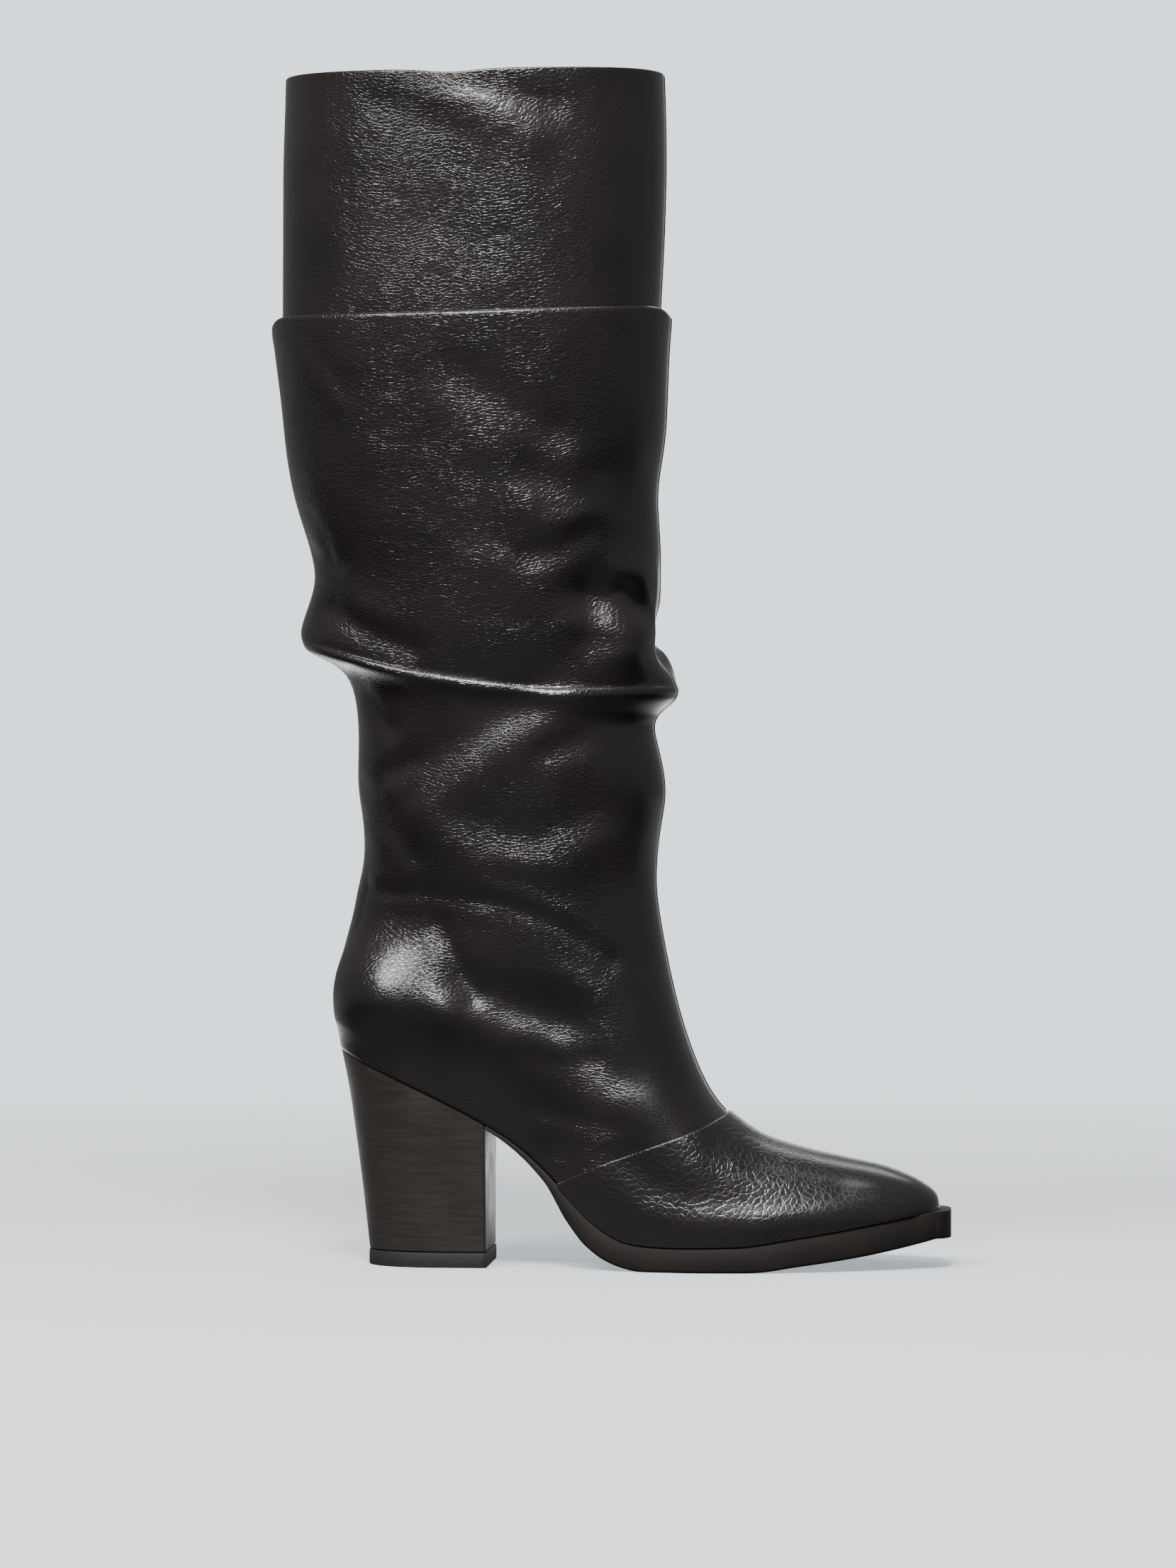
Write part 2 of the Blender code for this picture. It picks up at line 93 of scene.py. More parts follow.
room = bpy.data.worlds.new("room")
room.use_nodes = True
bpy.context.scene.world = room
nodes, links = nodes_of(room.node_tree)
ray = nodes.new("ShaderNodeLightPath")
seen = nodes.new("ShaderNodeBackground")
seen.inputs["Color"].default_value = (*PALE, 1.0)
felt = nodes.new("ShaderNodeBackground")
felt.inputs["Strength"].default_value = 1.0
way = nodes.new("ShaderNodeTexCoord")
split = nodes.new("ShaderNodeSeparateXYZ")
behind = nodes.new("ShaderNodeMapRange")
behind.interpolation_type = "SMOOTHSTEP"
behind.inputs["From Min"].default_value = 0.955
behind.inputs["From Max"].default_value = 0.998
behind.inputs["To Min"].default_value = 0.24
behind.inputs["To Max"].default_value = 1.7
links.new(way.outputs["Generated"], split.inputs[0])
links.new(split.outputs["Y"], behind.inputs["Value"])
links.new(behind.outputs["Result"], felt.inputs["Color"])
choose = nodes.new("ShaderNodeMixShader")
out = nodes.new("ShaderNodeOutputWorld")
links.new(ray.outputs["Is Camera Ray"], choose.inputs["Fac"])
links.new(felt.outputs[0], choose.inputs[1])
links.new(seen.outputs[0], choose.inputs[2])
links.new(choose.outputs[0], out.inputs["Surface"])


def surface(name, points, finish, ring=True, tube=False):
    """A mesh from a grid of points with quads between neighbours. Ring joins the last column to the first, tube
    the last row to the first. Columns run anticlockwise seen from outside and rows upwards."""
    rows, columns = points.shape[:2]
    number = np.arange(rows * columns).reshape(rows, columns)
    if ring:
        number = np.concatenate([number, number[:, :1]], axis=1)
    if tube:
        number = np.concatenate([number, number[:1]], axis=0)
    quads = np.stack([number[:-1, :-1], number[:-1, 1:], number[1:, 1:], number[1:, :-1]], axis=-1)
    mesh = bpy.data.meshes.new(name)
    mesh.from_pydata(points.reshape(-1, 3).tolist(), [], quads.reshape(-1, 4).tolist())
    mesh.shade_smooth()
    mesh.materials.append(finish)
    piece = bpy.data.objects.new(name, mesh)
    bpy.context.collection.objects.link(piece)
    return piece


floor_finish = bpy.data.materials.new("studio_floor")
floor_finish.use_nodes = True
nodes, links = nodes_of(floor_finish.node_tree)
place = nodes.new("ShaderNodeTexCoord")
reach = nodes.new("ShaderNodeVectorMath")
reach.operation = "LENGTH"
fade = nodes.new("ShaderNodeMapRange")
fade.interpolation_type = "SMOOTHSTEP"
fade.inputs["From Min"].default_value = 0.35
fade.inputs["From Max"].default_value = 1.5
fade.inputs["To Min"].default_value = 1.0
fade.inputs["To Max"].default_value = 0.0
paper = nodes.new("ShaderNodeBsdfPrincipled")
paper.inputs["Base Color"].default_value = (0.45, 0.47, 0.487, 1.0)
paper.inputs["Roughness"].default_value = 0.9
paper.inputs["Specular IOR Level"].default_value = 0.1
paper.inputs["Emission Color"].default_value = (*PALE, 1.0)
paper.inputs["Emission Strength"].default_value = 0.29
dim = nodes.new("ShaderNodeEmission")
where = nodes.new("ShaderNodeSeparateXYZ")
far = nodes.new("ShaderNodeMapRange")
far.inputs["From Min"].default_value = 0.05
far.inputs["From Max"].default_value = 0.60
far.inputs["To Min"].default_value = 0.20
far.inputs["To Max"].default_value = 3.40
glance = nodes.new("ShaderNodeLightPath")
choose = nodes.new("ShaderNodeMixShader")
out = nodes.new("ShaderNodeOutputMaterial")
links.new(place.outputs["Object"], reach.inputs[0])
links.new(reach.outputs["Value"], fade.inputs["Value"])
links.new(fade.outputs["Result"], paper.inputs["Alpha"])
links.new(place.outputs["Object"], where.inputs[0])
links.new(where.outputs["Y"], far.inputs["Value"])
aside = nodes.new("ShaderNodeMath")
aside.operation = "ABSOLUTE"
links.new(where.outputs["X"], aside.inputs[0])
strip = nodes.new("ShaderNodeMapRange")
strip.inputs["From Min"].default_value = 0.20
strip.inputs["From Max"].default_value = 0.42
strip.inputs["To Min"].default_value = 1.0
strip.inputs["To Max"].default_value = 0.12
links.new(aside.outputs[0], strip.inputs["Value"])
both = nodes.new("ShaderNodeMath")
both.operation = "MULTIPLY"
links.new(far.outputs["Result"], both.inputs[0])
links.new(strip.outputs["Result"], both.inputs[1])
links.new(both.outputs[0], dim.inputs["Strength"])
links.new(glance.outputs["Is Camera Ray"], choose.inputs["Fac"])
links.new(dim.outputs[0], choose.inputs[1])
links.new(paper.outputs[0], choose.inputs[2])
links.new(choose.outputs[0], out.inputs["Surface"])
turn = np.linspace(0.0, 2 * np.pi, 96, endpoint=False)
reaches = np.linspace(1.0, 0.001, 24)[:, None] * FLOOR_RADIUS
disc = np.stack([reaches * np.cos(turn), reaches * np.sin(turn), 0 * reaches * turn], axis=-1)
floor = surface("floor", disc, floor_finish)

# Outsole: a black rubber sole, thin at the waist, thick and flat under the ball, sprung at the squared toe. It
# is cut a little wider than the shoe around the forefoot, buffed matt at its edge and cemented to the upper.
LAST_LENGTH = 0.2555
LAST_BACK_X = -0.038
BALL_WIDTH = 0.087
SEAT_HEIGHT = 0.0929
FOREFOOT_THICKNESS = 0.0108
WAIST_THICKNESS = 0.0019
TOE_SPRING = 0.0141
SOLE_MARGIN = 0.0012
TOE_MARGIN = 0.0065
TOE_ROUND = 0.013
HEEL_ROUND = 0.034
TOE_ROUND_POWER = 2.6
HEEL_ROUND_POWER = 2.2
BREAST_X = 0.0265
CLEARANCE = 0.0003

# Lines of the sole from the last's back to its tip: share along, drop, toe spring, body and lift.
SOLE_LINES = (
    (0.00, 1.000, 0.00, 0.00, 1.00),
    (0.10, 0.855, 0.00, 0.00, 1.00),
    (0.20, 0.703, 0.00, 0.00, 1.00),
    (0.25, 0.618, 0.00, 0.00, 1.00),
    (0.30, 0.522, 0.00, 0.12, 1.00),
    (0.35, 0.385, 0.00, 0.35, 1.00),
    (0.39, 0.250, 0.00, 1.05, 1.00),
    (0.42, 0.155, 0.00, 1.25, 1.00),
    (0.455, 0.070, 0.00, 1.18, 1.00),
    (0.49, 0.020, 0.00, 1.00, 0.60),
    (0.52, 0.006, 0.00, 1.00, 0.00),
    (0.56, 0.000, 0.00, 1.00, 0.00),
    (0.67, 0.000, 0.035, 1.00, 0.00),
    (0.77, 0.000, 0.29, 1.00, 0.57),
    (0.89, 0.000, 0.64, 1.00, 0.75),
    (1.00, 0.000, 1.00, 1.00, 0.91),
)
# Half-widths of the feather line, outer and inner, as shares of the ball's width.
OUTLINE = (
    (0.00, 0.345, 0.345),
    (0.14, 0.356, 0.356),
    (0.25, 0.335, 0.325),
    (0.35, 0.335, 0.290),
    (0.45, 0.400, 0.320),
    (0.55, 0.475, 0.400),
    (0.62, 0.505, 0.465),
    (0.70, 0.490, 0.490),
    (0.80, 0.430, 0.450),
    (0.90, 0.335, 0.360),
    (1.00, 0.200, 0.225),
)


def smooth(table, column, at):
    """Monotone cubic through one column of a table whose first column rises: between two rows the value is
    their Hermite blend. A row's tangent is the harmonic mean of its two slopes, or nothing at a turn."""
    x = np.array([row[0] for row in table])
    y = np.array([row[column] for row in table])
    step = np.diff(x)
    slope = np.diff(y) / step
    tangent = np.concatenate([slope[:1], np.zeros(len(x) - 2), slope[-1:]])
    turning = slope[:-1] * slope[1:] <= 0
    total = np.where(turning, 1.0, slope[:-1] + slope[1:])
    tangent[1:-1] = np.where(turning, 0.0, 2 * slope[:-1] * slope[1:] / total)
    at = np.clip(at, x[0], x[-1])
    i = np.clip(np.searchsorted(x, at, side="right") - 1, 0, len(step) - 1)
    t = (at - x[i]) / step[i]
    rest = 1 - t
    ends = y[i] * (1 + 2 * t) * rest**2 + y[i + 1] * (3 - 2 * t) * t**2
    return ends + step[i] * (tangent[i] * t * rest**2 - tangent[i + 1] * rest * t**2)


def along_last(x):
    """Share of the last's length at x."""
    return (x - LAST_BACK_X) / LAST_LENGTH


def feather_height(x):
    """Height of the feather line: the forefoot's thickness, plus the seat's drop, plus the toe's spring."""
    at = along_last(x)
    drop = (SEAT_HEIGHT - FOREFOOT_THICKNESS) * smooth(SOLE_LINES, 1, at)
    return FOREFOOT_THICKNESS + drop + TOE_SPRING * smooth(SOLE_LINES, 2, at)


def round_end(distance, reach, power):
    """Share of the full width at a distance from a rounded end: a quarter superellipse that reaches so far."""
    left = np.clip(1 - distance / reach, 0, 1)
    return (1 - left**power) ** (1 / power)


def feather_width(x, side, tip=0.0):
    """Half-width of the feather line on one side, rounded off at a squared toe that ends tip past the last."""
    toe = LAST_BACK_X + LAST_LENGTH + tip - x
    return BALL_WIDTH * smooth(OUTLINE, side, along_last(x)) * round_end(toe, TOE_ROUND, TOE_ROUND_POWER)


def level_line(x, outer, inner, z):
    """Outer and inner edge points of one level outline of a sole piece."""
    z = np.broadcast_to(z, x.shape)
    return np.stack([np.stack([x, -outer, z], axis=-1), np.stack([x, inner, z], axis=-1)])


def stacked(name, levels, finish, sharp=38):
    """A solid from level outlines, lowest first: quads round the sides, and rungs from edge to edge across the
    bottom and the top. Doubles at the rounded ends are merged."""
    loops = np.array([np.concatenate([level[0], level[1][::-1]]) for level in levels])
    count, size = loops.shape[:2]
    number = np.arange(count * size).reshape(count, size)
    round_it = np.concatenate([number, number[:, :1]], axis=1)
    sides = np.stack([round_it[:-1, :-1], round_it[:-1, 1:], round_it[1:, 1:], round_it[1:, :-1]], axis=-1)
    half = size // 2
    outer, inner = number[:, :half], number[:, half:][:, ::-1]
    low = np.stack([outer[0, :-1], inner[0, :-1], inner[0, 1:], outer[0, 1:]], axis=-1)
    high = np.stack([outer[-1, :-1], outer[-1, 1:], inner[-1, 1:], inner[-1, :-1]], axis=-1)
    quads = np.concatenate([sides.reshape(-1, 4), low, high])
    mesh = bpy.data.meshes.new(name)
    mesh.from_pydata(loops.reshape(-1, 3).tolist(), [], quads.tolist())
    body = bmesh.new()
    body.from_mesh(mesh)
    bmesh.ops.remove_doubles(body, verts=body.verts, dist=2e-6)
    bmesh.ops.dissolve_degenerate(body, edges=body.edges, dist=2e-6)
    bmesh.ops.recalc_face_normals(body, faces=body.faces)
    body.to_mesh(mesh)
    body.free()
    mesh.shade_smooth()
    mesh.set_sharp_from_angle(angle=np.radians(sharp))
    mesh.materials.append(finish)
    piece = bpy.data.objects.new(name, mesh)
    bpy.context.collection.objects.link(piece)
    return piece


def principled(name, colour, roughness):
    """A node material with one Principled shader wired to the output, and its nodes and links."""
    made = bpy.data.materials.new(name)
    made.use_nodes = True
    nodes, links = nodes_of(made.node_tree)
    shader = nodes.new("ShaderNodeBsdfPrincipled")
    shader.inputs["Base Color"].default_value = (*colour, 1.0)
    shader.inputs["Roughness"].default_value = roughness
    out = nodes.new("ShaderNodeOutputMaterial")
    links.new(shader.outputs[0], out.inputs["Surface"])
    return made, shader, nodes, links


def noise(nodes, scale, detail=3.0, roughness=0.5):
    """A noise texture node."""
    made = nodes.new("ShaderNodeTexNoise")
    made.inputs["Scale"].default_value = scale
    made.inputs["Detail"].default_value = detail
    made.inputs["Roughness"].default_value = roughness
    return made


def ranged(nodes, links, source, low, high, to_low, to_high):
    """A Map Range node fed by a socket."""
    made = nodes.new("ShaderNodeMapRange")
    made.inputs["From Min"].default_value = low
    made.inputs["From Max"].default_value = high
    made.inputs["To Min"].default_value = to_low
    made.inputs["To Max"].default_value = to_high
    links.new(source, made.inputs["Value"])
    return made.outputs["Result"]


def ramp(nodes, links, source, stops):
    """A colour ramp fed by a socket, with (position, colour) stops."""
    made = nodes.new("ShaderNodeValToRGB")
    marks = made.color_ramp.elements
    marks[0].position, marks[0].color = stops[0][0], (*stops[0][1], 1.0)
    marks[1].position, marks[1].color = stops[-1][0], (*stops[-1][1], 1.0)
    for position, colour in stops[1:-1]:
        mark = marks.new(position)
        mark.color = (*colour, 1.0)
    links.new(source, made.inputs["Fac"])
    return made.outputs["Color"]


def bumped(nodes, links, height, shader, strength, distance):
    """A Bump node from a height socket into a shader's normal."""
    made = nodes.new("ShaderNodeBump")
    made.inputs["Strength"].default_value = strength
    made.inputs["Distance"].default_value = distance
    links.new(height, made.inputs["Height"])
    links.new(made.outputs["Normal"], shader.inputs["Normal"])


rubber, shader, nodes, links = principled("outsole_rubber", (0.009, 0.0075, 0.0068), 0.55)
spot = nodes.new("ShaderNodeTexCoord")
squash = nodes.new("ShaderNodeMapping")
squash.inputs["Scale"].default_value = (1.0, 1.0, 9.0)
links.new(spot.outputs["Object"], squash.inputs["Vector"])
scuffs = noise(nodes, 260.0, 6.0, 0.6)
links.new(squash.outputs[0], scuffs.inputs["Vector"])
shader.inputs["Specular IOR Level"].default_value = 0.28
cloud = noise(nodes, 38.0, 3.0)
links.new(spot.outputs["Object"], cloud.inputs["Vector"])
links.new(ranged(nodes, links, scuffs.outputs["Fac"], 0.3, 0.7, 0.52, 0.7), shader.inputs["Roughness"])
links.new(
    ramp(nodes, links, cloud.outputs["Fac"], [(0.3, (0.006, 0.005, 0.0045)), (0.7, (0.011, 0.0085, 0.0075))]),
    shader.inputs["Base Color"],
)
bumped(nodes, links, scuffs.outputs["Fac"], shader, 0.35, 0.00012)

SOLE_BEVEL = 0.12
SOLE_LIP = 0.0005
end = LAST_BACK_X + LAST_LENGTH + TOE_MARGIN
toe_stations = end - TOE_ROUND * np.linspace(0.004, 0.9, 24) ** 1.6
x = np.sort(np.concatenate([np.linspace(BREAST_X + CLEARANCE, end, 150), toe_stations]))
thick = smooth(SOLE_LINES, 3, along_last(x))
proud = SOLE_MARGIN * np.clip(thick, 0, 1)
outer_edge, inner_edge = (feather_width(x, side, TOE_MARGIN) + proud for side in (1, 2))
top = feather_height(x) - CLEARANCE
low = smooth(SOLE_LINES, 4, along_last(x)) * (
    feather_height(x) - WAIST_THICKNESS - (FOREFOOT_THICKNESS - WAIST_THICKNESS) * thick
)
bevel = SOLE_BEVEL * (top - low)
levels = []
for turned in (90, 60, 30, 0):
    angle = np.radians(turned)
    drawn = bevel * (1 - np.cos(angle))
    levels.append(level_line(x, outer_edge - drawn, inner_edge - drawn, low + bevel * (1 - np.sin(angle))))
lip = np.minimum(SOLE_LIP, 0.2 * (top - low))
for turned in (0, 45, 90):
    angle = np.radians(turned)
    drawn = lip * (1 - np.cos(angle))
    levels.append(level_line(x, outer_edge - drawn, inner_edge - drawn, top - lip * (1 - np.sin(angle))))
outsole = stacked("sole_outsole", levels, rubber)
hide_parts("outsole")
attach(outsole, "root")

# Heel: a tall stacked block, stained black, narrower at the ground than at the seat. Its sides are sanded
# smooth with faint lines of the layers. It is pegged and glued under the seat, its flat breast to the waist.
HEEL_BASE_BACK = -0.0255
HEEL_BASE_WIDTH = 0.050
TOP_PIECE_THICKNESS = 0.0065
BREAST_CORNER = 0.0007
HEEL_LEVELS = (
    (0.00, 0.00, 0.00),
    (0.30, 0.23, 0.27),
    (0.60, 0.50, 0.58),
    (0.82, 0.73, 0.84),
    (1.00, 1.00, 1.00),
)


def heel_level(up, floor, drawn=0.0):
    """Outline of the heel at a share of its height: each point slides from the base's outline to the seat's,
    whose back is rounded by a superellipse, and is drawn in by an edge's roundness."""
    back_share, side_share = smooth(HEEL_LEVELS, 1, up), smooth(HEEL_LEVELS, 2, up)
    back = HEEL_BASE_BACK + back_share * (LAST_BACK_X + CLEARANCE - HEEL_BASE_BACK) + drawn
    front = BREAST_X - drawn
    top_back = LAST_BACK_X + CLEARANCE
    share = np.concatenate([np.linspace(0, 1, 40) ** 2, np.linspace(0.05, 0.98, 20)])
    share = np.unique(np.round(share, 4))
    x = back + share * (front - back)
    seat_x = top_back + share * (BREAST_X - top_back)
    ends = round_end(x - back, HEEL_ROUND, HEEL_ROUND_POWER)
    base = HEEL_BASE_WIDTH / 2
    width = [base + side_share * (feather_width(seat_x, side) - CLEARANCE - base) for side in (1, 2)]
    corner = BREAST_CORNER * (1 - round_end(front - x, BREAST_CORNER, 2.0))
    top = feather_height(x) - CLEARANCE
    z = floor + up * (top - floor)
    return level_line(x, (width[0] - drawn) * ends - corner, (width[1] - drawn) * ends - corner, z)


stain, shader, nodes, links = principled("heel_block", (0.015, 0.014, 0.013), 0.42)
spot = nodes.new("ShaderNodeTexCoord")
layers = nodes.new("ShaderNodeMapping")
layers.inputs["Scale"].default_value = (0.06, 0.06, 1.0)
links.new(spot.outputs["Object"], layers.inputs["Vector"])
lines = noise(nodes, 900.0, 3.0, 0.7)
links.new(layers.outputs[0], lines.inputs["Vector"])
cloud = noise(nodes, 60.0, 4.0)
links.new(spot.outputs["Object"], cloud.inputs["Vector"])
layer_tones = [(0.32, (0.013, 0.0112, 0.0104)), (0.62, (0.0235, 0.0195, 0.0178))]
tone = ramp(nodes, links, lines.outputs["Fac"], layer_tones)
links.new(tone, shader.inputs["Base Color"])
links.new(ranged(nodes, links, cloud.outputs["Fac"], 0.3, 0.7, 0.36, 0.5), shader.inputs["Roughness"])
bumped(nodes, links, lines.outputs["Fac"], shader, 0.25, 0.0001)

floor_z = TOP_PIECE_THICKNESS + CLEARANCE
steps = np.concatenate([[0.0, 0.004], np.linspace(0.02, 0.985, 26), [0.996, 1.0]])
draws = np.concatenate([[0.0004, 0.0], np.zeros(26), [0.0, 0.0004]])
levels = [heel_level(up, floor_z, drawn) for up, drawn in zip(steps, draws)]
heel = stacked("heel_stack", levels, stain, 30)
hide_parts("heel")
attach(heel, "root")

# Top piece: the black rubber wearing piece nailed flat under the heel, a hair wider than the block, so that a
# thin line shows round the heel where the two meet.
TOP_PIECE_PROUD = 0.0003
TOP_PIECE_LEVELS = (
    # height, drawn in
    (0.0, 0.0005),
    (0.0002, 0.0001),
    (0.0006, 0.0),
    (0.0056, 0.0),
    (0.0062, 0.0001),
    (0.0065, 0.0006),
)
wear, shader, nodes, links = principled("top_piece_rubber", (0.012, 0.012, 0.012), 0.6)
spot = nodes.new("ShaderNodeTexCoord")
grit = noise(nodes, 700.0, 5.0, 0.6)
links.new(spot.outputs["Object"], grit.inputs["Vector"])
links.new(ranged(nodes, links, grit.outputs["Fac"], 0.3, 0.7, 0.5, 0.7), shader.inputs["Roughness"])
bumped(nodes, links, grit.outputs["Fac"], shader, 0.3, 0.0001)
levels = []
for z, drawn in TOP_PIECE_LEVELS:
    line = heel_level(0.0, 0.0, drawn - TOP_PIECE_PROUD)
    line[..., 2] = z
    levels.append(line)
top_piece = stacked("heel_top_piece", levels, wear)
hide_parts("top_piece")
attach(top_piece, "root")

# Insole: the tan leather insole that lies inside on the sole and the heel's seat. It is glued down, and only a
# look down the shaft shows it.
WALL = 0.0016
INSOLE_THICKNESS = 0.0025
INSOLE_MARGIN = 0.0008
tan, shader, nodes, links = principled("insole_leather", (0.30, 0.22, 0.15), 0.6)
spot = nodes.new("ShaderNodeTexCoord")
pores = noise(nodes, 900.0, 4.0)
links.new(spot.outputs["Object"], pores.inputs["Vector"])
tone = ramp(nodes, links, pores.outputs["Fac"], [(0.3, (0.25, 0.18, 0.12)), (0.7, (0.33, 0.245, 0.17))])
links.new(tone, shader.inputs["Base Color"])
bumped(nodes, links, pores.outputs["Fac"], shader, 0.3, 0.0002)
edge = WALL + INSOLE_MARGIN
start, end = LAST_BACK_X + edge, LAST_BACK_X + LAST_LENGTH - edge
share = (1 - np.cos(np.linspace(0, np.pi, 90))) / 2
x = start + share * (end - start)
width = []
for side in (1, 2):
    full = np.clip(feather_width(x, side, -edge) - edge, 0, None)
    width.append(full * round_end(x - start, HEEL_ROUND, HEEL_ROUND_POWER))
levels = [level_line(x, width[0], width[1], feather_height(x) + up) for up in (0.0, INSOLE_THICKNESS)]
insole = stacked("insole_board", levels, tan)
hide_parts("insole")
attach(insole, "root")

# Upper: two quarters of soft black grained leather, lined, seamed down the front and the back and lasted over
# the insole. The slack shaft sinks into a straight lapped fold under the top and a crumpled roll with a groove
# above it over the ankle, with soft creases between.
INSTEP_HEIGHT = 0.065
ANKLE_HEIGHT = 0.161
COLLAR_HEIGHT = 0.512
SHAFT_X = 0.0195
SHAFT_DEPTH = 0.163
SHAFT_WIDTH = 0.104
FOLD_GAP = 0.0008
CUFF_TUCK = 0.012
UPPER_COLUMNS = 272
ROW_STEP = 0.0023
OVAL_POWER = 2.15
ARCH_POWER = 2.3
SMOOTHING_PASSES = 14
CREST_SPARED = 0.72
FOLD_OUTER_ROWS = 12
COLLAR_SWAY = 0.0016
CORNER_DROP = 0.0040

# Rings of the foot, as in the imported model: front, rise of the front, back, rise of the back, bow and leg.
FOOT_RINGS = (
    (0.000, 0.000, 0.000, 0.000, 1.00, 0.00),
    (0.004, 0.120, 0.003, 0.075, 0.97, 0.00),
    (0.018, 0.205, 0.006, 0.150, 0.93, 0.00),
    (0.047, 0.310, 0.009, 0.215, 0.88, 0.00),
    (0.093, 0.415, 0.009, 0.280, 0.80, 0.02),
    (0.152, 0.495, 0.008, 0.340, 0.70, 0.05),
    (0.218, 0.590, 0.006, 0.405, 0.58, 0.10),
    (0.284, 0.720, 0.003, 0.470, 0.45, 0.18),
    (0.335, 0.925, 0.000, 0.545, 0.32, 0.28),
    (0.370, 1.060, -0.005, 0.620, 0.22, 0.40),
    (0.397, 1.200, -0.010, 0.690, 0.14, 0.52),
    (0.424, 1.400, -0.016, 0.770, 0.07, 0.66),
    (0.448, 1.660, -0.022, 0.860, 0.02, 0.82),
    (0.471, 2.000, -0.029, 1.000, 0.00, 1.00),
)
# Rings of the shaft: heights at the back, side and front, ends behind and ahead of the axis, and half-widths.
LOWER_RINGS = (
    (0.000, 0.000, 0.000, 0.307, 0.477, 0.375, 0.375),
    (0.043, 0.043, 0.043, 0.288, 0.482, 0.375, 0.375),
    (0.085, 0.080, 0.075, 0.293, 0.490, 0.383, 0.383),
    (0.130, 0.125, 0.118, 0.309, 0.506, 0.390, 0.390),
    (0.192, 0.180, 0.168, 0.304, 0.488, 0.395, 0.395),
    (0.266, 0.222, 0.207, 0.325, 0.466, 0.392, 0.392),
    (0.284, 0.236, 0.226, 0.415, 0.520, 0.413, 0.413),
    (0.293, 0.243, 0.236, 0.445, 0.534, 0.427, 0.427),
)
MIDDLE_RINGS = (
    (0.299, 0.250, 0.242, 0.452, 0.536, 0.422, 0.422),
    (0.303, 0.2555, 0.246, 0.455, 0.534, 0.404, 0.404),
    (0.307, 0.249, 0.250, 0.458, 0.530, 0.373, 0.373),
    (0.316, 0.262, 0.260, 0.460, 0.523, 0.382, 0.382),
    (0.328, 0.289, 0.271, 0.454, 0.503, 0.399, 0.399),
    (0.350, 0.306, 0.285, 0.437, 0.475, 0.411, 0.411),
    (0.375, 0.328, 0.302, 0.417, 0.458, 0.420, 0.420),
    (0.410, 0.368, 0.350, 0.430, 0.490, 0.435, 0.435),
    (0.476, 0.430, 0.412, 0.475, 0.491, 0.455, 0.455),
    (0.530, 0.500, 0.480, 0.497, 0.482, 0.475, 0.475),
    (0.600, 0.580, 0.560, 0.513, 0.506, 0.497, 0.497),
    (0.650, 0.640, 0.640, 0.527, 0.512, 0.517, 0.517),
    (0.692, 0.690, 0.703, 0.537, 0.521, 0.533, 0.533),
)
TOP_RINGS = (
    (0.770, 0.770, 0.775, 0.507, 0.500, 0.490, 0.490),
    (0.880, 0.880, 0.885, 0.506, 0.506, 0.497, 0.497),
    (0.952, 0.948, 0.956, 0.501, 0.504, 0.500, 0.500),
    (0.989, 0.984, 0.993, 0.499, 0.501, 0.500, 0.500),
)


def between(table, at):
    """All columns of a table of rings at fractional row numbers, each by the monotone cubic."""
    numbered = [(number, *row) for number, row in enumerate(table)]
    return np.stack([smooth(numbered, column + 1, at) for column in range(len(table[0]))], axis=-1)


def foot_points(rings, share, outer):
    """Points of the foot for fractional ring numbers and shares of the way from back to front.

    Along the ring, x and z run straight from its back end to its front end, and z keeps part of the feather
    line's bend. The half-width is the feather line's, times a superelliptic arch over to the vamp's ridge, times
    the round of the heel, and it turns into the leg's oval as the ring climbs.
    """
    front, _, behind, rise_back, bow, leg = np.moveaxis(between(FOOT_RINGS, rings), -1, 0)
    tip_x = LAST_BACK_X + LAST_LENGTH
    tip_z = feather_height(tip_x)
    table = np.array(FOOT_RINGS)
    ridge_x = tip_x - LAST_LENGTH * table[::-1, 0]
    low = tip_z + (INSTEP_HEIGHT - tip_z) * table[::-1, 1]
    high = INSTEP_HEIGHT + (ANKLE_HEIGHT - INSTEP_HEIGHT) * (table[::-1, 1] - 1)
    ridge = np.column_stack([ridge_x, np.where(table[::-1, 1] < 1, low, high)])
    front_x = tip_x - LAST_LENGTH * front
    front_z = smooth(ridge, 1, front_x)
    back_x = LAST_BACK_X - LAST_LENGTH * behind
    back_z = SEAT_HEIGHT + (ANKLE_HEIGHT - SEAT_HEIGHT) * rise_back
    x = back_x + share * (front_x - back_x)
    line = feather_height(back_x) + share * (feather_height(front_x) - feather_height(back_x))
    z = back_z + share * (front_z - back_z) + bow * (feather_height(x) - line)
    ridge_z = np.where(x < ridge[0, 0], ridge[0, 1] + 10 * (ridge[0, 0] - x), smooth(ridge, 1, x))
    floor = feather_height(x)
    up = np.clip((z - floor) / np.maximum(ridge_z - floor, 1e-6), 0, 1)
    arch = (1 - up**ARCH_POWER) ** (1 / ARCH_POWER)
    width = np.where(outer, feather_width(x, 1), feather_width(x, 2))
    foot_y = width * arch * round_end(x - back_x, HEEL_ROUND, HEEL_ROUND_POWER)
    y = foot_y + leg * (SHAFT_WIDTH * LOWER_RINGS[0][5] * oval(share) - foot_y)
    return np.stack([x, np.where(outer, -y, y), z], axis=-1)


def oval(share):
    """Half-width of the leg's section at a share of the way from back to front: a superellipse."""
    return (1 - np.abs(2 * share - 1) ** OVAL_POWER) ** (1 / OVAL_POWER)


